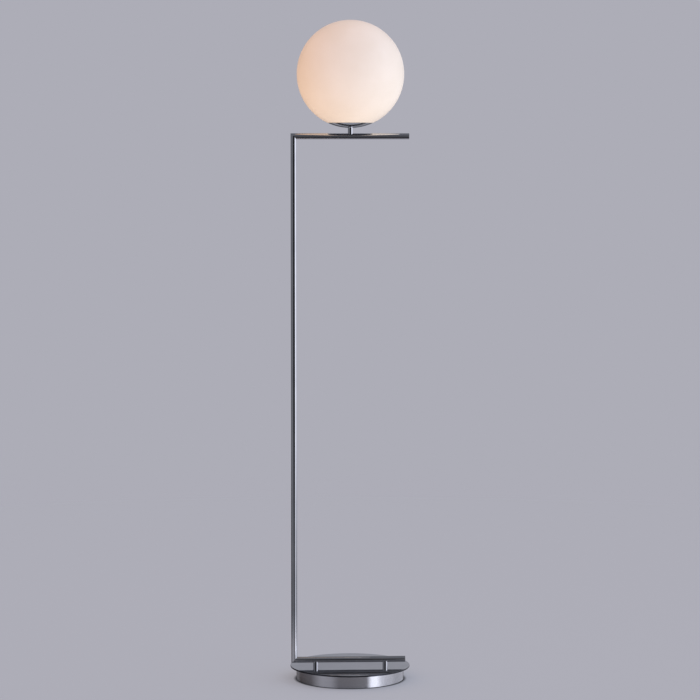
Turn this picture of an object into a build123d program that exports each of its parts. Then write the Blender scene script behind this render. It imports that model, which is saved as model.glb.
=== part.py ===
from build123d import *
import math
import os

# Globe floor lamp. Millimetres; origin at the centre of the base on the floor, +Z up.
# The two level tubes run along +X to their free ends, and the upright stands at -X.
# The frame, the head and the bulb are modelled in the plane Y = 0 and then set at frame_y.

# base
pad_thick = 2.0          # foam disc under the base
pad_inset = 7.0          # pad edge to the drum's outer face
drum_lift = 1.0          # lower edge of the drum above the floor
drum_radius = 126.7
drum_wall = 1.2
drum_height = 28.5
plate_radius = 141.0
plate_thick = 3.5
plate_edge = 0.6         # rounding of the plate's rim
cover_thick = 3.0
cover_gap = 0.4          # cover edge to the drum's inner face
weight_thick = 15.0
weight_gap = 4.0         # casting edge to the drum's inner face
well_width = 30.0        # slot in the casting for the lead and the terminal block
well_margin = 6.0        # slot end beyond what lies in it
channel_width = 12.0     # slot from the well to the cord inlet

# screws that close the base
screw_count = 3
screw_ring = 95.0        # radius of the ring the screws stand on
screw_radius = 2.4
screw_head = 4.7         # radius of the countersunk head
screw_grip = 12.0        # length of thread in the boss
boss_radius = 5.5
boss_roof = 2.5          # solid metal above the tapped hole

# inlet for the mains cord
inlet_bore = 3.5         # radius
inlet_wall = 2.0
inlet_flange = 7.5       # radius
inlet_flange_thick = 1.2

# terminal block
block_length = 30.0
block_width = 18.0
block_height = 11.0
block_round = 1.5        # rounding of its upright edges
block_ways = 2
block_screw = 2.2        # radius
block_screw_sink = 0.5   # head below the block's top
slot_width = 0.6
slot_depth = 0.5

# tube frame
tube_radius = 7.0
tube_wall = 1.2
frame_y = -20.0          # the frame's plane, in front of the base's centre
pole_x = -132.5          # axis of the upright
lower_end = 129.5        # free end of the lower tube
arm_end = 137.0          # free end of the upper tube
frame_height = 1231.0    # axis of the lower tube to axis of the upper one
cap_thick = 1.5
cap_edge = 0.3           # rounding of the cap's rim
cap_spigot = 9.0

# feet between the frame and the plate
rail_gap = 9.0           # plate top to the underside of the lower tube
foot_x = 82.0
foot_radius = 6.0
foot_nipple_radius = 4.0  # hollow screw through each foot
foot_nipple_bore = 2.6
foot_washer_radius = 9.0
foot_washer_thick = 1.2
foot_nut_flats = 13.0
foot_nut_thick = 4.0
thread_end = 1.0         # hollow screw showing past its nut, and spare depth of a tapped hole

# stem and holder
stem_radius = 6.0
stem_bore = 4.6
stem_show = 12.5         # top of the upper tube to the dish
nipple_radius = 5.0      # hollow screw that carries the holder
nipple_bore = 3.5
nipple_grip = 10.0       # length of it in the stem
nipple_show = 7.0        # length of it in the lampholder
land_rim = 0.5           # flat on the dish beyond the stem
dish_wall = 1.2
gallery_wall = 1.0
gallery_rise = 10.0      # upstand above the mouth of the globe
gasket_thick = 0.8
gasket_lip = 2.0         # mouth edge to the gasket's outer edge
head_washer_radius = 10.0
head_washer_thick = 1.5
head_nut_flats = 14.0
head_nut_thick = 3.5

# globe
globe_radius = 125.0
globe_wall = 3.0
mouth_radius = 54.0      # outer edge of the ground mouth

# lampholder
holder_radius = 19.5
holder_wall = 1.8
holder_boss = 8.0        # radius of the cap's threaded end
holder_boss_height = 5.0
holder_slope = 9.0       # height of the cap's sloping shoulder
holder_straight = 6.0    # height of the cap's upright rim
holder_ledge = 1.2       # cap rim inside the skirt, carries the core
skirt_height = 36.0
skirt_gap = 1.0          # screw shell to the skirt's lip
core_thick = 8.0
shell_radius = 13.6      # inner radius of the screw shell
shell_wall = 0.4
shell_height = 22.0
shell_floor_gap = 2.0    # contact leaf to the shell's floor
contact_lift = 1.6       # height of the sprung centre contact
contact_width = 5.0
contact_reach = 8.0      # centre to the outer end of the leaf's foot
contact_foot = 3.0
contact_slope = 2.0      # run of the leaf's rising part
contact_tongue = 3.0     # leaf beyond the centre
contact_leaf = 0.4
terminal_radius = 2.0
terminal_drop = 4.0
terminal_x = 9.0

# bulb
bulb_length = 105.0
bulb_radius = 30.0
bulb_wall = 0.8
neck_flare = 1.0         # how far the glass spreads as it leaves the cap
neck_rise = 0.45         # share of the neck over which it stays narrow
side_fall = 0.5          # share of the neck over which the sides come down straight
bulb_cap_radius = 13.2
bulb_cap_wall = 1.4
bulb_cap_height = 21.0
collar_height = 1.2      # plain rim above the thread
collar_slope = 0.8
thread_start = 1.0       # plain metal below the first turn
thread_pitch = 3.629
thread_depth = 0.9
thread_flank = 0.3       # share of the pitch in each slope
thread_crest = 0.25      # share of the pitch in the flat top
tip_radius = 4.5
tip_flat = 2.7           # radius of the flat that meets the contact
tip_height = 1.5
insulator_rim = 0.5      # glass showing round the tip
insulator_height = 4.5

# lead inside the tubes
lead_radius = 1.8
corner_bend = 12.0       # centre-line radius at the mitred corners
entry_bend = 5.0         # centre-line radius where it enters a tube from the side

# clearances
press_gap = 0.02         # between faces that are brazed or screwed together
slide_gap = 0.4          # between pieces that pass through each other freely
seat_gap = 0.1           # under what rests on a spring or a soft seat

# levels and places worked out from the sizes above
cover_z = pad_thick + cover_thick
plate_low = drum_lift + drum_height
plate_top = plate_low + plate_thick
drum_inner = drum_radius - drum_wall
boss_low = plate_low - boss_roof - screw_grip - thread_end
lower_z = plate_top + rail_gap + tube_radius
arm_z = lower_z + frame_height
tube_bore = tube_radius - tube_wall
stem_top = arm_z + tube_radius + stem_show
land_radius = stem_radius + land_rim
globe_z = stem_top + math.sqrt(globe_radius**2 - land_radius**2)
mouth_z = globe_z - math.sqrt(globe_radius**2 - mouth_radius**2)
seat_z = mouth_z - gasket_thick
globe_inner = globe_radius - globe_wall
mouth_inner = math.sqrt(globe_inner**2 - (globe_z - mouth_z)**2)
dish_inner = globe_radius - dish_wall
gallery_outer = dish_inner - seat_gap
gallery_inner = gallery_outer - gallery_wall
upstand_radius = mouth_inner - 2 * slide_gap
washer_z = globe_z - math.sqrt(gallery_inner**2 - head_washer_radius**2) + press_gap
head_nut_z = washer_z + head_washer_thick
holder_z = head_nut_z + head_nut_thick
holder_rim_z = holder_z + holder_boss_height + holder_slope + holder_straight
core_radius = holder_radius - holder_wall - seat_gap
core_z = holder_rim_z + core_thick
tip_z = core_z + contact_lift + seat_gap
insulator_z = tip_z + tip_height
bulb_cap_z = insulator_z + insulator_height
thread_root = bulb_cap_radius - thread_depth
bulb_neck_z = bulb_cap_z + bulb_cap_height
bulb_top = tip_z + bulb_length
foot_washer_z = plate_low - foot_washer_thick
foot_nut_z = foot_washer_z - foot_nut_thick
foot_nipple_z = foot_nut_z - thread_end
inlet_z = drum_lift + drum_height / 2
lead_low = cover_z + lead_radius + slide_gap
feet = (-foot_x, foot_x)
centre = (0, 0)


def ring(outer, inner, z0, z1, at=centre):
    """A round wall between two heights; an inner radius of 0 gives a disc."""
    height = z1 - z0
    solid = Cylinder(outer, height, align=(Align.CENTER, Align.CENTER, Align.MIN))
    if inner > 0:
        bore = Cylinder(inner, height + 2, align=(Align.CENTER, Align.CENTER, Align.MIN))
        solid -= Pos(0, 0, -1) * bore
    return Pos(at[0], at[1], z0) * solid


def turned(edges):
    """The solid turned about Z from closed edges given as radius and height."""
    return revolve(Plane.XZ * make_face(edges), Axis.Z, 360)


def turned_points(points):
    return turned(Polyline(*points, close=True))


def hex_nut(flats, bore, z0, thick, at=centre):
    prism = extrude(RegularPolygon(flats / 2, 6, major_radius=False), thick)
    return Pos(at[0], at[1], z0) * prism - ring(bore, 0, z0 - 1, z0 + thick + 1, at)


def level_bar(radius, x0, x1, z):
    bar = Cylinder(radius, x1 - x0, align=(Align.CENTER, Align.CENTER, Align.MIN))
    return Pos(x0, 0, z) * Rot(0, 90, 0) * bar


def screw_places():
    turn = 360 / screw_count
    for i in range(screw_count):
        angle = math.radians(turn * i - 90)
        yield screw_ring * math.cos(angle), screw_ring * math.sin(angle)


# ---- base ----

def floor_pad():
    return ring(drum_radius - pad_inset, 0, 0, pad_thick)


def bottom_cover():
    cover = ring(drum_inner - cover_gap, 0, pad_thick, cover_z)
    for place in screw_places():
        cover -= Pos(place[0], place[1], 0) * screw_body(slide_gap)
    return cover


def base_drum():
    drum = ring(drum_radius, drum_inner, drum_lift, plate_low)
    return drum - inlet_bar(inlet_bore + inlet_wall + press_gap)


def inlet_bar(radius, y0=0.0, y1=None):
    """A bar along +Y at the height of the cord inlet."""
    end = drum_radius * 2 if y1 is None else y1
    bar = Cylinder(radius, end - y0, align=(Align.CENTER, Align.CENTER, Align.MIN))
    return Pos(0, y0, inlet_z) * Rot(-90, 0, 0) * bar


def base_plate():
    plate = ring(plate_radius, 0, plate_low, plate_top)
    plate = fillet(plate.edges().filter_by(GeomType.CIRCLE), plate_edge)
    for x in feet:
        plate -= ring(foot_nipple_radius + slide_gap, 0, plate_low - 1, plate_top + 1, (x, frame_y))
    return plate


def base_weight():
    """Cast disc with a well for the lead, a channel to the inlet and holes for nuts and bosses."""
    top = cover_z + weight_thick
    weight = ring(drum_inner - weight_gap, 0, cover_z, top)
    nut_room = foot_nut_flats / math.sqrt(3) + well_margin
    well_x0 = -foot_x - nut_room
    well_x1 = block_length / 2 + well_margin
    well = Box(well_x1 - well_x0, well_width, weight_thick + 2,
               align=(Align.MIN, Align.CENTER, Align.MIN))
    weight -= Pos(well_x0, frame_y, cover_z - 1) * well
    channel = Box(channel_width, drum_radius - frame_y, weight_thick + 2,
                  align=(Align.CENTER, Align.MIN, Align.MIN))
    weight -= Pos(0, frame_y, cover_z - 1) * channel
    weight -= ring(nut_room, 0, cover_z - 1, top + 1, (foot_x, frame_y))
    for place in screw_places():
        weight -= ring(boss_radius + slide_gap, 0, cover_z - 1, top + 1, place)
    return weight


def screw_body(grow=0.0):
    """Countersunk screw standing head down in the cover."""
    radius = screw_radius + grow
    head = screw_head + grow
    cone_top = pad_thick + head - radius
    tip = boss_low + screw_grip
    return turned_points([(0, pad_thick), (head, pad_thick), (radius, cone_top), (radius, tip), (0, tip)])


def cover_screws():
    return [Pos(x, y, 0) * screw_body() for x, y in screw_places()]


def weld_bosses():
    return [ring(boss_radius, 0, boss_low, plate_low, place)
            - ring(screw_radius + press_gap, 0, boss_low - 1, plate_low - boss_roof, place)
            for place in screw_places()]


def cord_inlet_bush():
    outer = drum_radius + inlet_flange_thick
    wall_in = math.sqrt(drum_inner**2 - inlet_flange**2) - press_gap
    bush = inlet_bar(inlet_bore + inlet_wall, wall_in - inlet_flange_thick, outer)
    bush += inlet_bar(inlet_flange, wall_in - inlet_flange_thick, wall_in)
    bush += inlet_bar(inlet_flange, drum_radius, outer)
    return bush - inlet_bar(inlet_bore)


def block_places():
    pitch = block_length / (block_ways + 1)
    for i in range(block_ways):
        for side in (-1, 1):
            yield (i - (block_ways - 1) / 2) * pitch, side * block_width / 4


def terminal_block():
    block = Box(block_length, block_width, block_height, align=(Align.CENTER, Align.CENTER, Align.MIN))
    block = Pos(0, 0, cover_z) * fillet(block.edges().filter_by(Axis.Z), block_round)
    top = cover_z + block_height
    for place in block_places():
        block -= ring(block_screw + press_gap, 0, top - block_height / 2, top + 1, place)
    return block


def block_screws():
    low = cover_z + block_height / 2
    top = cover_z + block_height - block_screw_sink
    slot = Box(block_screw * 3, slot_width, slot_depth * 2)
    return [ring(block_screw, 0, low, top, (x, y)) - Pos(x, y, top) * slot for x, y in block_places()]


# ---- frame ----

def mitre(x, z, turn):
    """Plane of a mitred corner, its normal towards the level tube."""
    return Plane(origin=(x, 0, z), x_dir=(0, 1, 0), z_dir=(1, 0, turn))


def level_tube(z, end, turn):
    start = pole_x - tube_radius
    tube = level_bar(tube_radius, start, end - cap_thick, z) - level_bar(tube_bore, start - 1, end, z)
    return split(tube, bisect_by=mitre(pole_x, z, turn), keep=Keep.TOP)


def lower_tube():
    tube = level_tube(lower_z, lower_end, -1)
    for x in feet:
        tube -= ring(foot_nipple_radius + press_gap, 0, lower_z - tube_radius - 1, lower_z, (x, 0))
    return tube


def upper_tube():
    tube = level_tube(arm_z, arm_end, 1)
    return tube - ring(stem_bore, 0, arm_z, arm_z + tube_radius + 1)


def pole_tube():
    pole = ring(tube_radius, tube_bore, lower_z - tube_radius, arm_z + tube_radius, (pole_x, 0))
    pole = split(pole, bisect_by=mitre(pole_x, lower_z, -1), keep=Keep.BOTTOM)
    return split(pole, bisect_by=mitre(pole_x, arm_z, 1), keep=Keep.BOTTOM)


def end_cap(z, end):
    head = level_bar(tube_radius, end - cap_thick, end, z)
    rim = head.edges().filter_by(GeomType.CIRCLE).sort_by(Axis.X)[-1]
    spigot = level_bar(tube_bore - press_gap, end - cap_thick - cap_spigot, end - cap_thick, z)
    return fillet(rim, cap_edge) + spigot


def foot(x):
    """Short post, coped to the tube above it and bored for its hollow screw."""
    post = ring(foot_radius, foot_nipple_radius + press_gap, plate_top, lower_z, (x, 0))
    return post - level_bar(tube_radius + press_gap, x - 2 * foot_radius, x + 2 * foot_radius, lower_z)


def foot_nipple_at(x):
    return ring(foot_nipple_radius, foot_nipple_bore, foot_nipple_z, lower_z - tube_bore, (x, 0))


def foot_washers():
    return [ring(foot_washer_radius, foot_nipple_radius + slide_gap, foot_washer_z, plate_low, (x, 0)) for x in feet]


def foot_nuts():
    return [hex_nut(foot_nut_flats, foot_nipple_radius + press_gap, foot_nut_z, foot_nut_thick, (x, 0)) for x in feet]


# ---- head ----

def stem_tube():
    stem = ring(stem_radius, stem_bore, arm_z, stem_top)
    stem -= level_bar(tube_radius + press_gap, -2 * stem_radius, 2 * stem_radius, arm_z)
    return stem - ring(nipple_radius + press_gap, 0, stem_top - nipple_grip, stem_top + 1)


def head_nipple():
    return ring(nipple_radius, nipple_bore, stem_top - nipple_grip + press_gap, holder_z + nipple_show)


def cap_arc(radius, z0, z1):
    """Arc of a sphere about the globe's centre between two heights below it."""
    start = -math.degrees(math.asin((globe_z - z0) / radius))
    end = -math.degrees(math.asin((globe_z - z1) / radius))
    return CenterArc((0, globe_z), radius, start, end - start)


def sphere_z(radius, r):
    """Height at distance r from the axis on the lower half of such a sphere."""
    return globe_z - math.sqrt(radius**2 - r**2)


def sphere_r(radius, z):
    return math.sqrt(radius**2 - (globe_z - z)**2)


def holder_dish():
    """Spun dish that carries the globe's curve on to the stem."""
    bore = nipple_radius + seat_gap
    inner_low = sphere_z(dish_inner, bore)
    return turned([
        Line((bore, stem_top), (land_radius, stem_top)),
        cap_arc(globe_radius, stem_top, seat_z),
        Line((sphere_r(globe_radius, seat_z), seat_z), (sphere_r(dish_inner, seat_z), seat_z)),
        cap_arc(dish_inner, inner_low, seat_z),
        Line((bore, inner_low), (bore, stem_top)),
    ])


def gallery():
    """Inner cup whose upstand centres the globe."""
    bore = nipple_radius + seat_gap
    low = sphere_z(gallery_outer, bore)
    foot_out = sphere_z(gallery_outer, upstand_radius)
    upstand_in = upstand_radius - gallery_wall
    foot_in = sphere_z(gallery_inner, upstand_in)
    low_in = sphere_z(gallery_inner, bore)
    top = mouth_z + gallery_rise
    return turned([
        Line((bore, low_in), (bore, low)),
        cap_arc(gallery_outer, low, foot_out),
        Line((upstand_radius, foot_out), (upstand_radius, top)),
        Line((upstand_radius, top), (upstand_in, top)),
        Line((upstand_in, top), (upstand_in, foot_in)),
        cap_arc(gallery_inner, low_in, foot_in),
    ])


def globe_gasket():
    return ring(mouth_radius - gasket_lip, upstand_radius + slide_gap, seat_z, mouth_z)


def head_washer():
    return ring(head_washer_radius, nipple_radius + seat_gap, washer_z, head_nut_z)


def head_nut():
    return hex_nut(head_nut_flats, nipple_radius + press_gap, head_nut_z, head_nut_thick)


def globe_glass():
    """Blown opal ball with a ground mouth."""
    start = math.degrees(math.asin((globe_z - mouth_z) / globe_radius))
    start_in = math.degrees(math.asin((globe_z - mouth_z) / globe_inner))
    return turned([
        CenterArc((0, globe_z), globe_radius, -start, 90 + start),
        Line((0, globe_z + globe_radius), (0, globe_z + globe_inner)),
        CenterArc((0, globe_z), globe_inner, -start_in, 90 + start_in),
        Line((mouth_inner, mouth_z), (mouth_radius, mouth_z)),
    ])


# ---- lampholder ----

def lampholder_cap():
    inner = holder_radius - holder_wall - holder_ledge
    bore = nipple_radius + press_gap
    shoulder = holder_z + holder_boss_height
    widest = shoulder + holder_slope
    floor = shoulder + holder_wall
    return turned_points([
        (bore, holder_z), (holder_boss, holder_z), (holder_boss, shoulder),
        (holder_radius, widest), (holder_radius, holder_rim_z), (inner, holder_rim_z),
        (inner, widest + holder_wall / 2), (holder_boss, floor), (bore, floor),
    ])


def lampholder_skirt():
    inner = holder_radius - holder_wall
    top = holder_rim_z + skirt_height
    lip = shell_radius + shell_wall + skirt_gap
    return turned_points([
        (inner, holder_rim_z), (holder_radius, holder_rim_z), (holder_radius, top - holder_wall),
        (holder_radius - holder_wall / 2, top), (lip, top), (lip, top - holder_wall),
        (inner, top - holder_wall),
    ])


def lampholder_core():
    return ring(core_radius, 0, holder_rim_z, core_z)


def screw_shell():
    outer = shell_radius + shell_wall
    return (ring(outer, shell_radius, core_z, core_z + shell_height)
            + ring(outer, contact_reach + shell_floor_gap, core_z, core_z + shell_wall))


def centre_contact():
    """Bent leaf: a foot riveted to the core and a tongue under the bulb's tip."""
    low = core_z
    high = core_z + contact_lift
    heel = contact_reach - contact_foot
    bend = heel - contact_slope
    outline = Polyline(
        (contact_reach, low), (contact_reach, low + contact_leaf), (heel, low + contact_leaf),
        (bend, high), (-contact_tongue, high), (-contact_tongue, high - contact_leaf),
        (bend - contact_leaf, high - contact_leaf), (heel - contact_leaf, low), close=True)
    return extrude(Plane.XZ * make_face(outline), contact_width / 2, both=True)


def holder_terminals():
    return [ring(terminal_radius, 0, holder_rim_z - terminal_drop, holder_rim_z, (x, 0))
            for x in (-terminal_x, terminal_x)]


# ---- bulb ----

def bulb_tip():
    return turned_points([(0, tip_z), (tip_flat, tip_z), (tip_radius, insulator_z), (0, insulator_z)])


def bulb_insulator():
    return turned_points([(0, insulator_z), (tip_radius + insulator_rim, insulator_z),
                          (thread_root, bulb_cap_z), (0, bulb_cap_z)])


def bulb_cap():
    """Screw cap; its thread is drawn as level rounds at the thread's pitch."""
    inner = bulb_cap_radius - bulb_cap_wall
    flank = thread_pitch * thread_flank
    crest = thread_pitch * thread_crest
    collar = bulb_neck_z - collar_height
    outline = [(inner, bulb_cap_z), (thread_root, bulb_cap_z)]
    z = bulb_cap_z + thread_start
    while z + thread_pitch < collar - collar_slope:
        outline += [(thread_root, z), (bulb_cap_radius, z + flank),
                    (bulb_cap_radius, z + flank + crest), (thread_root, z + 2 * flank + crest)]
        z += thread_pitch
    outline += [(thread_root, collar - collar_slope), (bulb_cap_radius, collar),
                (bulb_cap_radius, bulb_neck_z), (inner, bulb_neck_z)]
    return turned_points(outline)


def bulb_glass():
    centre = bulb_top - bulb_radius
    rise = centre - bulb_neck_z
    edges = []
    for r, neck in ((bulb_radius, bulb_cap_radius), (bulb_radius - bulb_wall, bulb_cap_radius - bulb_wall)):
        edges.append(Bezier((neck, bulb_neck_z), (neck + neck_flare, bulb_neck_z + rise * neck_rise),
                            (r, centre - rise * side_fall), (r, centre)))
        edges.append(CenterArc((0, centre), r, 0, 90))
    edges.append(Line((0, bulb_top), (0, bulb_top - bulb_wall)))
    edges.append(Line((bulb_cap_radius, bulb_neck_z), (bulb_cap_radius - bulb_wall, bulb_neck_z)))
    return turned(edges)


# ---- lead ----

def internal_lead():
    """Two-core lead from the terminal block through the frame to the lampholder."""
    low_bend = foot_nipple_z - lead_low - slide_gap
    end = holder_z + nipple_show + 2 * lead_radius
    route = [
        (-block_length / 2 - slide_gap, 0, lead_low), (-foot_x, 0, lead_low), (-foot_x, 0, lower_z),
        (pole_x, 0, lower_z), (pole_x, 0, arm_z), (0, 0, arm_z), (0, 0, end),
    ]
    bends = [low_bend, entry_bend, corner_bend, corner_bend, entry_bend]
    path = FilletPolyline(*route, radius=bends)
    section = Plane(origin=route[0], z_dir=(-1, 0, 0)) * Circle(lead_radius)
    lead = sweep(section, path=path)
    share = lead.volume / (math.pi * lead_radius**2 * path.length)
    print("lead length", round(path.length, 1), "volume share", round(share, 4), "bends", bends)
    return lead


base_parts = {
    "floor_pad": floor_pad,
    "bottom_cover": bottom_cover,
    "base_drum": base_drum,
    "base_plate": base_plate,
    "base_weight": base_weight,
    "cover_screws": cover_screws,
    "weld_bosses": weld_bosses,
    "cord_inlet_bush": cord_inlet_bush,
}

frame_parts = {
    "terminal_block": terminal_block,
    "block_screws": block_screws,
    "lower_tube": lower_tube,
    "pole_tube": pole_tube,
    "upper_tube": upper_tube,
    "lower_end_cap": lambda: end_cap(lower_z, lower_end),
    "upper_end_cap": lambda: end_cap(arm_z, arm_end),
    "foot_left": lambda: foot(-foot_x),
    "foot_right": lambda: foot(foot_x),
    "foot_nipple_left": lambda: foot_nipple_at(-foot_x),
    "foot_nipple_right": lambda: foot_nipple_at(foot_x),
    "foot_washers": foot_washers,
    "foot_nuts": foot_nuts,
    "internal_lead": internal_lead,
    "stem_tube": stem_tube,
    "head_nipple": head_nipple,
    "holder_dish": holder_dish,
    "gallery": gallery,
    "globe_gasket": globe_gasket,
    "head_washer": head_washer,
    "head_nut": head_nut,
    "globe_glass": globe_glass,
    "lampholder_cap": lampholder_cap,
    "lampholder_skirt": lampholder_skirt,
    "lampholder_core": lampholder_core,
    "screw_shell": screw_shell,
    "centre_contact": centre_contact,
    "holder_terminals": holder_terminals,
    "bulb_tip": bulb_tip,
    "bulb_insulator": bulb_insulator,
    "bulb_cap": bulb_cap,
    "bulb_glass": bulb_glass,
}


def write_parts(makers, y):
    """Each sub-part as its own file, set at the given Y."""
    for name, make in makers.items():
        made = make()
        solids = [Pos(0, y, 0) * solid for solid in (made if isinstance(made, list) else [made])]
        shape = solids[0] if len(solids) == 1 else Compound(children=solids)
        export_step(shape, f"parts/{name}.step")
        print(name, round(shape.volume / 1000, 2), "cm3")


os.makedirs("parts", exist_ok=True)
write_parts(base_parts, 0)
write_parts(frame_parts, frame_y)
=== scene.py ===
import bmesh
import bpy
import math
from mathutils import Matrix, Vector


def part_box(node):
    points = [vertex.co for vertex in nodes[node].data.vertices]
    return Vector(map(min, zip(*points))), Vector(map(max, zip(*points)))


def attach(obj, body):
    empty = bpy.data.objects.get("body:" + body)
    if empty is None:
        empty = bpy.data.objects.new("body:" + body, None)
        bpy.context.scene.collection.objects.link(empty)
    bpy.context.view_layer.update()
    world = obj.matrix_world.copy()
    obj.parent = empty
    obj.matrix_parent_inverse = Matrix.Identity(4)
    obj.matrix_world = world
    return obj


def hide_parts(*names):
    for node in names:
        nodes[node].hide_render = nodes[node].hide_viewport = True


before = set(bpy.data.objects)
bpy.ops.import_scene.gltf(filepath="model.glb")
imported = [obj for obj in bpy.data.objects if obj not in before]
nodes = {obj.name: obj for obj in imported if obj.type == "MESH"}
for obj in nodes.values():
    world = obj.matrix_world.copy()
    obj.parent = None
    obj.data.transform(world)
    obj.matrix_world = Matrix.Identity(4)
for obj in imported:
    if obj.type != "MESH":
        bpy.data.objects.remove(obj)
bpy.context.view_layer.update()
mm = 0.001
print("frame loaded:", len(nodes), "pieces")


def linear(hexColour):
    # an sRGB hex value as the linear numbers that sockets take, by the standard's own curve
    channels = []
    for i in (1, 3, 5):
        c = int(hexColour[i:i + 2], 16) / 255
        channels.append(c / 12.92 if c <= 0.04045 else ((c + 0.055) / 1.055) ** 2.4)
    return (*channels, 1.0)


def addNode(tree, kind, settings=None, links=None):
    # a setting goes to the socket of that name or number, to the ramp, or else to the node itself
    node = tree.nodes.new(kind)
    for name, value in (settings or {}).items():
        if name == "stops":
            for i, (place, shade) in enumerate(value):
                stop = node.color_ramp.elements[i] if i < 2 else node.color_ramp.elements.new(place)
                stop.position = place
                stop.color = shade
        elif isinstance(name, int) or name in node.inputs:
            node.inputs[name].default_value = value
        else:
            setattr(node, name, value)
    for name, source in (links or {}).items():
        tree.links.new(source, node.inputs[name])
    return node


def addObject(name, data):
    thing = bpy.data.objects.new(name, data)
    bpy.context.scene.collection.objects.link(thing)
    return thing


# the camera is fitted to the outline of the globe, the two level tubes and the base
view = {
    "side": 700,            # the picture's side in pixels
    "focal": 2650,          # focal length in the same pixels
    "sensor": 36.0,         # millimetres
    "distance": 6.207,      # metres from the middle of the base, measured level
    "height": 1.240,
    "turn": 2.8,            # degrees round to the left
    "tilt": 4.24,           # degrees down
}


def makeCamera():
    data = bpy.data.cameras.new("camera")
    data.sensor_width = view["sensor"]
    data.lens = view["focal"] * view["sensor"] / view["side"]
    camera = addObject("camera", data)
    turn = math.radians(view["turn"])
    back = view["distance"]
    camera.location = (-back * math.sin(turn), -back * math.cos(turn), view["height"])
    camera.rotation_euler = (math.radians(90 - view["tilt"]), 0, -turn)
    bpy.context.scene.camera = camera


bpy.context.scene.view_settings.view_transform = "Standard"
makeCamera()
print("camera made")


# what surrounds the lamp, by direction
studio = {
    "background": "#adadb7",
    "tint": "#e6e8f5",          # cool cast of the room that the chrome shows
    "reach": 2.2,               # brightness of the ramps' white
    "level": [                  # degrees round to the right of the front, and brightness
        (-180, 0.42), (-150, 0.24), (-110, 0.18), (-72, 0.24), (-40, 0.24), (-30, 0.05), (0, 0.02),
        (36, 0.03), (46, 1.4), (54, 1.55), (95, 1.5), (112, 0.8), (140, 0.65), (160, 0.44), (180, 0.42),
    ],
    "low": [                    # the same, a little below level
        (-180, 0.03), (-168, 0.06), (-155, 0.10), (-135, 0.02), (-95, 0.06), (-66, 0.29), (-46, 0.27),
        (-26, 0.12), (0, 0.13), (34, 0.17), (44, 1.2), (56, 1.25), (68, 0.64), (80, 0.45), (110, 0.33),
        (150, 0.34), (168, 0.10), (180, 0.03),
    ],
    "lowFrom": -0.09,           # heights of the direction, from -1 down to 1 up
    "lowTo": -0.17,
    "sheenFrom": -0.172,        # lower still, the glossy floor adds what it mirrors
    "sheenTo": -0.188,
    "sheen": 2.2,
    "ceiling": 0.21,
    "ceilingFrom": 0.14,
    "ceilingTo": 0.64,
    "floorBehind": 0.45,
    "floorInFront": 0.03,
    "floorFrom": -0.28,
    "floorTo": -0.5,
    "brightenFrom": -0.2,       # from the floor in front to the floor behind: how far back the
    "brightenTo": 0.35,         # direction points, from -1 to 1
    "even": (1.12, 0.96, 0.85),       # light on matt surfaces: the same all round
    "toRight": (0.10, 0.30, 0.45),    # and what each direction adds
    "toBack": (0.12, 0.02, -0.12),
    "upward": (-0.26, -0.23, -0.15),
}


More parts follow.
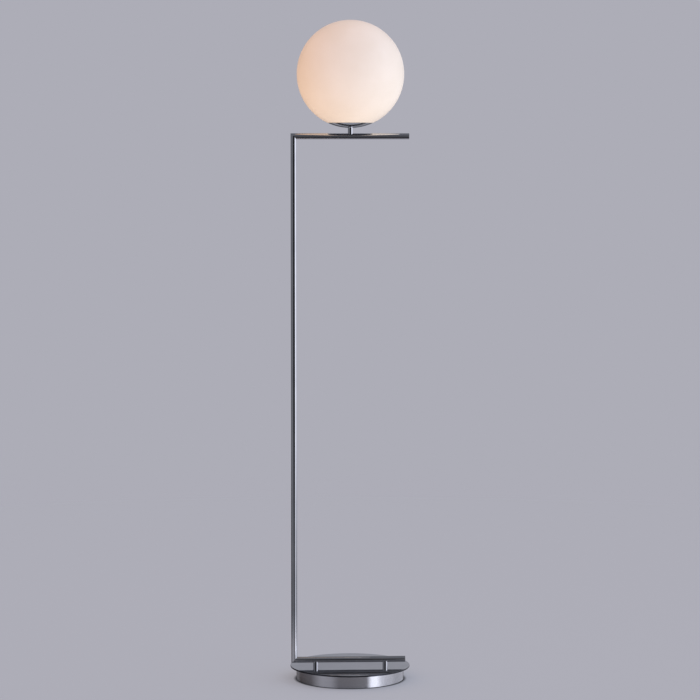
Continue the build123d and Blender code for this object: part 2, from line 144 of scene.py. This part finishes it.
def makeWorld():
    world = bpy.data.worlds.new("studio")
    bpy.context.scene.world = world
    world.use_nodes = True
    tree = world.node_tree
    tree.nodes.clear()
    reach = studio["reach"]

    def grey(light):
        return (light / reach,) * 3 + (1,)

    towards = addNode(tree, "ShaderNodeTexCoord").outputs["Generated"]
    axes = addNode(tree, "ShaderNodeSeparateXYZ", links={0: towards})
    across, behind, up = axes.outputs["X"], axes.outputs["Y"], axes.outputs["Z"]
    front = addNode(tree, "ShaderNodeMath", {"operation": "MULTIPLY", 1: -1.0}, {0: behind})
    turn = addNode(tree, "ShaderNodeMath", {"operation": "ARCTAN2"}, {0: across, 1: front.outputs[0]})
    around = addNode(tree, "ShaderNodeMapRange", {
        "From Min": -math.pi, "From Max": math.pi}, {"Value": turn.outputs[0]})
    bands = []
    for name in ("level", "low"):
        stops = [((angle + 180) / 360, grey(light)) for angle, light in studio[name]]
        ramp = addNode(tree, "ShaderNodeValToRGB", {"stops": stops}, {"Fac": around.outputs[0]})
        bands.append(ramp.outputs[0])
    lower = addNode(tree, "ShaderNodeMapRange", {
        "interpolation_type": "SMOOTHSTEP", "From Min": studio["lowFrom"], "From Max": studio["lowTo"]},
        {"Value": up})
    banded = addNode(tree, "ShaderNodeMix", {"data_type": "RGBA"}, {
        "Factor": lower.outputs[0], "A": bands[0], "B": bands[1]})
    sheen = addNode(tree, "ShaderNodeMapRange", {
        "interpolation_type": "SMOOTHSTEP", "From Min": studio["sheenFrom"], "From Max": studio["sheenTo"],
        "To Min": 1.0, "To Max": studio["sheen"]}, {"Value": up})
    walls = addNode(tree, "ShaderNodeVectorMath", {"operation": "SCALE"}, {
        0: banded.outputs["Result"], "Scale": sheen.outputs[0]})
    high = addNode(tree, "ShaderNodeMapRange", {
        "interpolation_type": "SMOOTHSTEP",
        "From Min": studio["ceilingFrom"], "From Max": studio["ceilingTo"]}, {"Value": up})
    roofed = addNode(tree, "ShaderNodeMix", {"data_type": "RGBA", "B": grey(studio["ceiling"])}, {
        "Factor": high.outputs[0], "A": walls.outputs[0]})
    depth = addNode(tree, "ShaderNodeMapRange", {
        "From Min": studio["brightenFrom"], "From Max": studio["brightenTo"]}, {"Value": behind})
    ground = addNode(tree, "ShaderNodeMix", {
        "data_type": "RGBA", "A": grey(studio["floorInFront"]), "B": grey(studio["floorBehind"])},
        {"Factor": depth.outputs[0]})
    down = addNode(tree, "ShaderNodeMapRange", {
        "interpolation_type": "SMOOTHSTEP", "From Min": studio["floorFrom"], "From Max": studio["floorTo"]},
        {"Value": up})
    seen = addNode(tree, "ShaderNodeMix", {"data_type": "RGBA"}, {
        "Factor": down.outputs[0], "A": roofed.outputs["Result"], "B": ground.outputs["Result"]})
    tinted = addNode(tree, "ShaderNodeMix", {
        "data_type": "RGBA", "blend_type": "MULTIPLY", "Factor": 1.0, "B": linear(studio["tint"])},
        {"A": seen.outputs["Result"]})
    inChrome = addNode(tree, "ShaderNodeBackground", {"Strength": reach}, {"Color": tinted.outputs["Result"]})
    light = addNode(tree, "ShaderNodeCombineXYZ", dict(enumerate(studio["even"]))).outputs[0]
    for name, axis in (("toRight", across), ("toBack", behind), ("upward", up)):
        extra = addNode(tree, "ShaderNodeVectorMath", {
            "operation": "SCALE", 0: studio[name]}, {"Scale": axis})
        total = addNode(tree, "ShaderNodeVectorMath", {"operation": "ADD"}, {0: light, 1: extra.outputs[0]})
        light = total.outputs[0]
    onMatt = addNode(tree, "ShaderNodeBackground", links={"Color": light})
    plain = addNode(tree, "ShaderNodeBackground", {"Color": linear(studio["background"])})
    path = addNode(tree, "ShaderNodeLightPath")
    glossy = addNode(tree, "ShaderNodeMixShader", links={
        0: path.outputs["Is Glossy Ray"], 1: onMatt.outputs[0], 2: inChrome.outputs[0]})
    camera = addNode(tree, "ShaderNodeMixShader", links={
        0: path.outputs["Is Camera Ray"], 1: glossy.outputs[0], 2: plain.outputs[0]})
    addNode(tree, "ShaderNodeOutputWorld", links={"Surface": camera.outputs[0]})


makeWorld()

# two weak softboxes, in metres, which add a little light from the right and from above
softboxColour = "#ffffff"
lamps = {
    "rightSoftbox": {"at": (2.6, -2.2, 0.9), "aim": (0, 0, 1.2), "size": 1.6, "watts": 5},
    "topSoftbox": {"at": (0.4, 0.4, 3.6), "aim": (0, 0, 0), "size": 1.8, "watts": 2},
}


def makeLamp(name, spec):
    data = bpy.data.lights.new(name, "AREA")
    data.shape = "SQUARE"
    data.size = spec["size"]
    data.energy = spec["watts"]
    data.color = linear(softboxColour)[:3]
    lamp = addObject(name, data)
    lamp.location = spec["at"]
    away = lamp.location - type(lamp.location)(spec["aim"])
    lamp.rotation_euler = away.to_track_quat("Z", "Y").to_euler()
    lamp.visible_glossy = False   # the chrome shows the studio's own bands
    lamp.visible_camera = False


for name, spec in lamps.items():
    makeLamp(name, spec)

# lengths in metres
floorSpec = {
    "radius": 12.0,
    "sides": 96,
    "colour": "#b1bdcf",
    "even": 0.55,                 # share of it that shows the background's colour and takes no shadow
    "under": 0.08,                # painted contact shadow: what is left of its brightness close round the drum
    "underFrom": 0.1268, "underTo": 0.1345,
    "inChrome": "#a0a0aa",        # its colour in mirrored rays
    "gloss": 0.8,                 # share of the studio that those see through it near the lamp
    "fadeFrom": 1.6, "fadeTo": 5.5,       # it fades into the background between these
    "nearFrom": 0.55, "nearTo": 0.80,     # and in mirrored rays between these
}


def makeFloor():
    mesh = bpy.data.meshes.new("floor")
    shape = bmesh.new()
    bmesh.ops.create_circle(shape, cap_ends=True, segments=floorSpec["sides"], radius=floorSpec["radius"])
    shape.to_mesh(mesh)
    shape.free()
    floor = addObject("floor", mesh)
    material = bpy.data.materials.new("paleFloor")
    material.use_nodes = True
    tree = material.node_tree
    tree.nodes.clear()
    where = addNode(tree, "ShaderNodeTexCoord")
    away = addNode(tree, "ShaderNodeVectorMath", {"operation": "LENGTH"}, {0: where.outputs["Object"]})
    mirrored = addNode(tree, "ShaderNodeLightPath").outputs["Is Glossy Ray"]
    fades = []
    for start, end, least in (("fadeFrom", "fadeTo", 0), ("nearFrom", "nearTo", floorSpec["gloss"])):
        ramp = addNode(tree, "ShaderNodeMapRange", {
            "interpolation_type": "SMOOTHSTEP", "From Min": floorSpec[start], "From Max": floorSpec[end],
            "To Min": least}, {"Value": away.outputs["Value"]})
        fades.append(ramp.outputs[0])
    fade = addNode(tree, "ShaderNodeMix", links={"Factor": mirrored, "A": fades[0], "B": fades[1]})
    shade = addNode(tree, "ShaderNodeMix", {
        "data_type": "RGBA", "A": linear(floorSpec["colour"]), "B": linear(floorSpec["inChrome"])},
        {"Factor": mirrored})
    # painted contact shadow: the floor and its evenly lit share darken close round the drum
    under = addNode(tree, "ShaderNodeMapRange", {
        "From Min": floorSpec["underFrom"], "From Max": floorSpec["underTo"], "To Min": floorSpec["under"]},
        {"Value": away.outputs["Value"]}).outputs[0]
    paintedShadowColour = addNode(tree, "ShaderNodeVectorMath", {"operation": "SCALE"}, {
        0: shade.outputs["Result"], "Scale": under})
    paper = addNode(tree, "ShaderNodeBsdfDiffuse", links={"Color": paintedShadowColour.outputs[0]})
    lit = addNode(tree, "ShaderNodeEmission", {"Color": linear(studio["background"])}, {"Strength": under})
    share = addNode(tree, "ShaderNodeMapRange", {
        "To Min": floorSpec["even"], "To Max": 0.0}, {"Value": mirrored})
    sheet = addNode(tree, "ShaderNodeMixShader", links={
        0: share.outputs[0], 1: paper.outputs[0], 2: lit.outputs[0]})
    clear = addNode(tree, "ShaderNodeBsdfTransparent")
    mix = addNode(tree, "ShaderNodeMixShader", links={
        0: fade.outputs[0], 1: sheet.outputs[0], 2: clear.outputs[0]})
    addNode(tree, "ShaderNodeOutputMaterial", links={"Surface": mix.outputs[0]})
    mesh.materials.append(material)
    floor.visible_diffuse = False     # the light from below is the studio's own
    material.cycles.emission_sampling = "NONE"


makeFloor()
print("studio made")


# what every finish shares
surface = {
    "patchFrom": 0.35, "patchTo": 0.65,      # stretch of the patch noise that the two colours span
    "roughFrom": 0.7, "roughTo": 1.3,        # the same for the roughness, of patches and grain together
    "patchDetail": 3.0,
    "grainDetail": 2.0,
    "lineDetail": 1.0,
    "rimFade": 0.1 * mm,                     # width over which a rim's painted dark reflection takes over
}


def makeMaterial(name, look):
    # patches tint the colour, grain breaks up the gloss and stands up as a low relief
    material = bpy.data.materials.new(name)
    material.use_nodes = True
    tree = material.node_tree
    tree.nodes.clear()
    where = addNode(tree, "ShaderNodeTexCoord").outputs["Object"]
    patches = addNode(tree, "ShaderNodeTexNoise", {
        "Scale": 1 / look["patchSize"], "Detail": surface["patchDetail"]}, {"Vector": where})
    tint = addNode(tree, "ShaderNodeMapRange", {
        "From Min": surface["patchFrom"], "From Max": surface["patchTo"]}, {"Value": patches.outputs["Fac"]})
    colour = addNode(tree, "ShaderNodeMix", {
        "data_type": "RGBA", "A": linear(look["deep"]), "B": linear(look["colour"])},
        {"Factor": tint.outputs[0]})
    if "lines" in look:
        # turning or spinning lines: level round a wall, or rings about a centre
        middle = (*look.get("centre", (0, 0)), 0)
        apart = addNode(tree, "ShaderNodeVectorMath", {"operation": "SUBTRACT", 1: middle}, {0: where})
        place = addNode(tree, "ShaderNodeSeparateXYZ", links={0: apart.outputs[0]})
        if look["lines"] == "rings":
            squares = addNode(tree, "ShaderNodeMath", {"operation": "MULTIPLY"},
                              {0: place.outputs["X"], 1: place.outputs["X"]})
            total = addNode(tree, "ShaderNodeMath", {"operation": "MULTIPLY_ADD"},
                            {0: place.outputs["Y"], 1: place.outputs["Y"], 2: squares.outputs[0]})
            along = addNode(tree, "ShaderNodeMath", {"operation": "SQRT"}, {0: total.outputs[0]}).outputs[0]
            # painted dark reflection: beyond the rim's radius the colour turns dark, for the shade that the
            # cut edge mirrors
            if "rim" in look:
                edge = addNode(tree, "ShaderNodeMapRange", {
                    "From Min": look["rim"], "From Max": look["rim"] + surface["rimFade"]}, {"Value": along})
                colour = addNode(tree, "ShaderNodeMix", {
                    "data_type": "RGBA", "B": linear(look["rimPaintedReflection"])},
                    {"Factor": edge.outputs[0], "A": colour.outputs["Result"]})
        else:
            along = place.outputs["Z"]
        lines = addNode(tree, "ShaderNodeTexNoise", {
            "noise_dimensions": "1D", "Scale": 1 / look["grainSize"], "Detail": surface["lineDetail"]},
            {"W": along})
        grain = lines.outputs["Fac"]
    elif look.get("pores"):
        cells = addNode(tree, "ShaderNodeTexVoronoi", {"Scale": 1 / look["grainSize"]}, {"Vector": where})
        grain = cells.outputs["Distance"]
    else:
        specks = addNode(tree, "ShaderNodeTexNoise", {
            "Scale": 1 / look["grainSize"], "Detail": surface["grainDetail"]}, {"Vector": where})
        grain = specks.outputs["Fac"]
    both = addNode(tree, "ShaderNodeMath", {"operation": "ADD"}, {0: grain, 1: patches.outputs["Fac"]})
    rough = addNode(tree, "ShaderNodeMapRange", {
        "From Min": surface["roughFrom"], "From Max": surface["roughTo"],
        "To Min": look["rough"][0], "To Max": look["rough"][1]}, {"Value": both.outputs[0]})
    bump = addNode(tree, "ShaderNodeBump", {
        "Strength": 1.0, "Distance": look["grainHeight"]}, {"Height": grain})
    shader = addNode(tree, "ShaderNodeBsdfPrincipled", look.get("shader"), {
        "Base Color": colour.outputs["Result"], "Roughness": rough.outputs[0], "Normal": bump.outputs[0]})
    addNode(tree, "ShaderNodeOutputMaterial", links={"Surface": shader.outputs[0]})
    return material


headAxis = (0, -20 * mm)    # the upright line through the stem, the lampholder and the globe

looks = {
    # chrome plate over buffed steel tube: a near mirror with a faint polishing haze in patches
    "polishedChromeTube": {
        "colour": "#d3d4d7", "deep": "#cbccd0", "patchSize": 45 * mm, "rough": (0.03, 0.06),
        "grainSize": 1.5 * mm, "grainHeight": 0.0001 * mm, "shader": {"Metallic": 1.0},
    },
    # the same plate over a lapped disc: rings from the polishing wheel, real ones 0.1 mm apart and drawn
    # coarser; the disc's cut edge, beyond the radius of the rim, gets a painted dark reflection of the shade
    # below it
    "polishedChromePlate": {
        "rim": 140.6 * mm, "rimPaintedReflection": "#3c3e44",
        "colour": "#d3d4d7", "deep": "#c9cace", "patchSize": 70 * mm, "rough": (0.035, 0.07),
        "lines": "rings", "grainSize": 1.0 * mm, "grainHeight": 0.0002 * mm, "shader": {"Metallic": 1.0},
    },
    # chrome over a spun dish: rings from the spinning roller, which soften its reflections
    "spunChrome": {
        "colour": "#d3d4d7", "deep": "#c9cace", "patchSize": 30 * mm, "rough": (0.06, 0.11),
        "lines": "rings", "centre": headAxis, "grainSize": 0.8 * mm, "grainHeight": 0.0004 * mm,
        "shader": {"Metallic": 1.0},
    },
    # chrome over a turned wall: fine level lines stretch every reflection into an upright streak
    "turnedChrome": {
        "colour": "#d3d4d7", "deep": "#cbccd0", "patchSize": 60 * mm, "rough": (0.13, 0.18),
        "lines": "level", "grainSize": 0.6 * mm, "grainHeight": 0.0006 * mm,
        "shader": {"Metallic": 1.0, "Anisotropic": 0.7, "Anisotropic Rotation": 0.25},
    },
    # blown opal glass with a satin etch: milky and even, with a soft sheen and no sharp highlight
    "satinOpalGlass": {
        "colour": "#f5ebe4", "deep": "#f1e6dd", "patchSize": 90 * mm, "rough": (0.36, 0.46),
        "grainSize": 1.5 * mm, "grainHeight": 0.003 * mm,
        "shader": {
            "IOR": 1.5, "Sheen Weight": 0.12, "Sheen Roughness": 0.35, "Sheen Tint": linear("#eceaff"),
        },
    },
    # bulb glass, frosted by a fine white powder inside: bright, with a soft gloss
    "frostedBulbGlass": {
        "colour": "#f3f1ec", "deep": "#ece9e2", "patchSize": 18 * mm, "rough": (0.20, 0.28),
        "grainSize": 1.2 * mm, "grainHeight": 0.002 * mm, "shader": {"IOR": 1.5},
    },
    # sand-cast grey iron dipped in black paint: coarse skin that the paint half fills
    "paintedCastIron": {
        "colour": "#3d3d40", "deep": "#2b2b2d", "patchSize": 12 * mm, "rough": (0.55, 0.75),
        "grainSize": 1.4 * mm, "grainHeight": 0.25 * mm, "shader": {"IOR": 1.5},
    },
    # zinc plated and passivated steel: a grey-blue crystal bloom over a soft metal sheen
    "passivatedZinc": {
        "colour": "#b9bfc7", "deep": "#a5a79f", "patchSize": 9 * mm, "rough": (0.26, 0.42), "pores": True,
        "grainSize": 3.0 * mm, "grainHeight": 0.004 * mm, "shader": {"Metallic": 1.0},
    },
    # pressed and turned brass, bright but handled: warm, with duller brown patches
    "brightBrass": {
        "colour": "#dcb868", "deep": "#c39a4e", "patchSize": 5 * mm, "rough": (0.14, 0.30),
        "grainSize": 0.5 * mm, "grainHeight": 0.002 * mm, "shader": {"Metallic": 1.0},
    },
    # closed-cell foam, skinned one side: dead matt black with fine burst cells, really 0.5 mm and drawn
    # 1.6 mm wide
    "closedCellFoam": {
        "colour": "#3a3a3c", "deep": "#2c2c2e", "patchSize": 25 * mm, "rough": (0.82, 0.95), "pores": True,
        "grainSize": 1.6 * mm, "grainHeight": 0.2 * mm, "shader": {"IOR": 1.45, "Sheen Weight": 0.1},
    },
    # moulded black rubber and cable sheath: dark, with a dull greasy gloss
    "mouldedRubber": {
        "colour": "#29292b", "deep": "#202022", "patchSize": 8 * mm, "rough": (0.45, 0.62),
        "grainSize": 0.5 * mm, "grainHeight": 0.01 * mm, "shader": {"IOR": 1.5},
    },
    # translucent silicone: milky, with a soft wet-looking skin that picks up dust
    "mouldedSilicone": {
        "colour": "#dfdcd4", "deep": "#d2cec4", "patchSize": 10 * mm, "rough": (0.30, 0.44),
        "grainSize": 0.8 * mm, "grainHeight": 0.01 * mm,
        "shader": {"IOR": 1.41, "Subsurface Weight": 0.25, "Subsurface Radius": (0.002, 0.002, 0.0018)},
    },
    # glass-filled polyester, moulded: off white, with fine flow marks and an even half gloss
    "mouldedPolyester": {
        "colour": "#efece4", "deep": "#e7e3d9", "patchSize": 14 * mm, "rough": (0.34, 0.48),
        "grainSize": 0.9 * mm, "grainHeight": 0.012 * mm, "shader": {"IOR": 1.54},
    },
    # glazed steatite porcelain: hard white under a clear wet glaze with faint specks
    "glazedPorcelain": {
        "colour": "#f1eee6", "deep": "#e4dfd3", "patchSize": 3 * mm, "rough": (0.10, 0.18),
        "grainSize": 1.5 * mm, "grainHeight": 0.008 * mm,
        "shader": {"IOR": 1.55, "Coat Weight": 0.6, "Coat Roughness": 0.05},
    },
    # rolled aluminium bulb cap: grey-white metal, scuffed where it has been screwed home
    "rolledAluminium": {
        "colour": "#dcdcdc", "deep": "#c4c4c2", "patchSize": 4 * mm, "rough": (0.18, 0.36),
        "grainSize": 0.5 * mm, "grainHeight": 0.003 * mm, "shader": {"Metallic": 1.0},
    },
    # black cap glass, poured and pressed: nearly a black mirror with small flow ripples
    "pressedBlackGlass": {
        "colour": "#121216", "deep": "#0b0b0e", "patchSize": 4 * mm, "rough": (0.06, 0.14),
        "grainSize": 2.0 * mm, "grainHeight": 0.01 * mm, "shader": {"IOR": 1.55},
    },
}

finishOf = {
    "polishedChromeTube": ["lower_tube", "pole_tube", "upper_tube", "lower_end_cap", "upper_end_cap",
                           "foot_left", "foot_right", "stem_tube"],
    "polishedChromePlate": ["base_plate"],
    "spunChrome": ["holder_dish", "gallery"],
    "turnedChrome": ["base_drum"],
    "satinOpalGlass": ["globe_glass"],
    "frostedBulbGlass": ["bulb_glass"],
    "paintedCastIron": ["base_weight"],
    "passivatedZinc": ["bottom_cover", "cover_screws", "weld_bosses", "foot_washers", "foot_nuts",
                       "foot_nipple_left", "foot_nipple_right", "head_nipple", "head_washer", "head_nut"],
    "brightBrass": ["block_screws", "screw_shell", "centre_contact", "holder_terminals", "bulb_tip"],
    "closedCellFoam": ["floor_pad"],
    "mouldedRubber": ["cord_inlet_bush", "internal_lead"],
    "mouldedSilicone": ["globe_gasket"],
    "mouldedPolyester": ["terminal_block", "lampholder_cap", "lampholder_skirt"],
    "glazedPorcelain": ["lampholder_core"],
    "rolledAluminium": ["bulb_cap"],
    "pressedBlackGlass": ["bulb_insulator"],
}

materials = {name: makeMaterial(name, look) for name, look in looks.items()}
for finish, names in finishOf.items():
    for name in names:
        nodes[name].data.materials.clear()
        nodes[name].data.materials.append(materials[finish])
print("materials made:", len(materials))


# the pieces from here on stand for plainer solids of the frame
sharpAngle = 50    # degrees between two faces from which their edge is drawn sharp


def turnedPiece(name, outline, centre, steps, radiusAt=None):
    # a closed outline of (radius, height) turned about an upright line through centre
    shape = bmesh.new()
    rings = []
    for i, (radius, height) in enumerate(outline):
        if radius == 0:
            rings.append([shape.verts.new((*centre, height))] * steps)
            continue
        ring = []
        for k in range(steps):
            angle = 2 * math.pi * k / steps
            r = radiusAt(i, radius, height, angle) if radiusAt else radius
            x = centre[0] + r * math.cos(angle)
            y = centre[1] + r * math.sin(angle)
            ring.append(shape.verts.new((x, y, height)))
        rings.append(ring)
    for low, high in zip(rings, rings[1:] + rings[:1]):
        if low[0] is low[1] and high[0] is high[1]:
            continue
        for k in range(steps):
            corners = [low[k], low[(k + 1) % steps], high[(k + 1) % steps], high[k]]
            shape.faces.new(list(dict.fromkeys(corners)))
    bmesh.ops.recalc_face_normals(shape, faces=shape.faces)
    mesh = bpy.data.meshes.new(name)
    shape.to_mesh(mesh)
    shape.free()
    mesh.shade_smooth()
    mesh.set_sharp_from_angle(angle=math.radians(sharpAngle))
    return addObject(name, mesh)


def standFor(piece, node, body, finish):
    piece.data.materials.append(materials[finish])
    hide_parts(node)
    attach(piece, body)


def arc(centreRadius, centreHeight, radius, start, end, count=5):
    # points of a rounded corner, angles in degrees from outward, turning upward
    for i in range(count):
        angle = math.radians(start + (end - start) * i / (count - 1))
        yield centreRadius + radius * math.cos(angle), centreHeight + radius * math.sin(angle)


pad = {
    "radius": 119.7 * mm,
    "thick": 2.0 * mm,
    "edge": 0.9 * mm,       # rounding of its rim
    "recess": 0.25 * mm,    # how far its middle stands off the floor
    "band": 9 * mm,         # width of the thicker rim round the middle
    "slope": 2 * mm,        # the part of that width that slopes down to the floor
    "steps": 160,
}


def floorPad():
    # foam disc, pressed a little thinner inside its rim
    r, thick, edge = pad["radius"], pad["thick"], pad["edge"]
    inner = r - pad["band"]
    outline = [(0, pad["recess"]), (inner / 2, pad["recess"]), (inner, pad["recess"])]
    outline.append((inner + pad["slope"], 0))
    outline += arc(r - edge, edge, edge, -90, 0)
    outline += arc(r - edge, thick - edge, edge, 0, 90)
    outline += [(inner / 2, thick), (0, thick)]
    piece = turnedPiece("floorPad", outline, (0, 0), pad["steps"])
    standFor(piece, "floor_pad", "lamp", "closedCellFoam")


gasket = {
    "width": 5.76 * mm,
    "edge": 0.3 * mm,           # rounding of its four corners
    "grooves": (0.33, 0.66),    # where they lie, as shares of the width
    "grooveDepth": 0.12 * mm,
    "grooveMouth": 0.5 * mm,    # half widths
    "grooveFloor": 0.2 * mm,
    "steps": 160,
}


def globeGasket():
    # flat silicone ring with rounded edges and two fine grooves under the ground mouth
    low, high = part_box("globe_gasket")
    outer, bottom, top = (high[0] - low[0]) / 2, low[2], high[2]
    inner, edge = outer - gasket["width"], gasket["edge"]
    outline = list(arc(outer - edge, bottom + edge, edge, -90, 0))
    outline += arc(outer - edge, top - edge, edge, 0, 90)
    mouth, floor = gasket["grooveMouth"], gasket["grooveFloor"]
    for share in gasket["grooves"]:
        middle = outer + (inner - outer) * share
        for step, sink in ((mouth, 0), (floor, 1), (-floor, 1), (-mouth, 0)):
            outline.append((middle + step, top - gasket["grooveDepth"] * sink))
    outline += arc(inner + edge, top - edge, edge, 90, 180)
    outline += arc(inner + edge, bottom + edge, edge, 180, 270)
    piece = turnedPiece("globeGasket", outline, headAxis, gasket["steps"])
    standFor(piece, "globe_gasket", "lamp", "mouldedSilicone")


thread = {
    "pitch": 3.629 * mm,
    "runOut": 0.5,      # share of the pitch over which it rises from nothing at each end
    "rows": 10,         # rings of points in one pitch
    "steps": 72,
}


def threadFade(height, start, end):
    runOut = thread["runOut"] * thread["pitch"]
    return max(0, min(1, (height - start) / runOut, (end - height) / runOut))


def threadWave(height, angle, start, end):
    # a right-hand round thread: 0 at the root, 1 at the crest, running out at both ends
    turn = (height - start) / thread["pitch"] - angle / (2 * math.pi)
    return threadFade(height, start, end) * (0.5 - 0.5 * math.cos(2 * math.pi * turn))


def heights(start, end):
    # the levels of the rings of points along a threaded wall
    count = round((end - start) / thread["pitch"] * thread["rows"])
    return [start + (end - start) * i / count for i in range(count + 1)]


cap = {
    "root": 12.3 * mm, "crest": 13.2 * mm, "inner": 11.8 * mm,    # radii
    "plainFoot": 0.6 * mm,      # plain wall under the thread
    "collar": 1.2 * mm,         # plain rim under the glass
    "slope": 0.8 * mm,          # height over which the wall widens to the collar
    "bevel": 0.2 * mm,
}


def bulbCap():
    # rolled cap: a true spiral thread between the foot and the plain collar under the glass
    low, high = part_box("bulb_cap")
    bottom, top = low[2], high[2]
    start, end = bottom + cap["plainFoot"], top - cap["collar"] - cap["slope"]
    wall = heights(start, end)
    root, crest, inner, bevel = cap["root"], cap["crest"], cap["inner"], cap["bevel"]
    outline = [(inner, bottom), (root - bevel, bottom), (root, bottom + bevel)]
    first = len(outline)
    outline += [(root, height) for height in wall]
    last = len(outline)
    collarFoot = top - cap["collar"]
    outline += [(crest - bevel, collarFoot - bevel / 2), (crest, collarFoot + bevel / 2)]
    outline += [(crest, top), (inner, top)]
    depth = crest - root

    def radiusAt(i, radius, height, angle):
        return radius + depth * threadWave(height, angle, start, end) if first <= i < last else radius

    piece = turnedPiece("bulbCap", outline, headAxis, thread["steps"], radiusAt)
    standFor(piece, "bulb_cap", "bulb", "rolledAluminium")


shell = {
    "inner": 13.6 * mm,     # radius inside at the thread's crests, which clears the bulb's cap
    "wall": 0.4 * mm,
    "depth": 0.7 * mm,      # root to crest
    "hole": 10.0 * mm,      # radius of the hole in its floor
    "rim": 1.0 * mm,        # plain wall at each end
}


def screwShell():
    # rolled brass shell: one thickness of sheet, its thread standing in towards the bulb
    low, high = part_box("screw_shell")
    bottom, top = low[2], high[2]
    start, end = bottom + shell["rim"], top - shell["rim"]
    wall = heights(start, end)
    inner, outer = shell["inner"], shell["inner"] + shell["wall"]
    outline = [(shell["hole"], bottom), (outer, bottom)]
    outline += [(outer, height) for height in wall] + [(outer, top), (inner, top)]
    outline += [(inner, height) for height in reversed(wall)]
    outline += [(inner, bottom + shell["wall"]), (shell["hole"], bottom + shell["wall"])]

    def radiusAt(i, radius, height, angle):
        if not start <= height <= end:
            return radius
        outward = threadFade(height, start, end) - threadWave(height, angle, start, end)
        return radius + shell["depth"] * outward

    piece = turnedPiece("screwShell", outline, headAxis, thread["steps"], radiusAt)
    standFor(piece, "screw_shell", "lamp", "brightBrass")


floorPad()
globeGasket()
bulbCap()
screwShell()
print("pieces made")
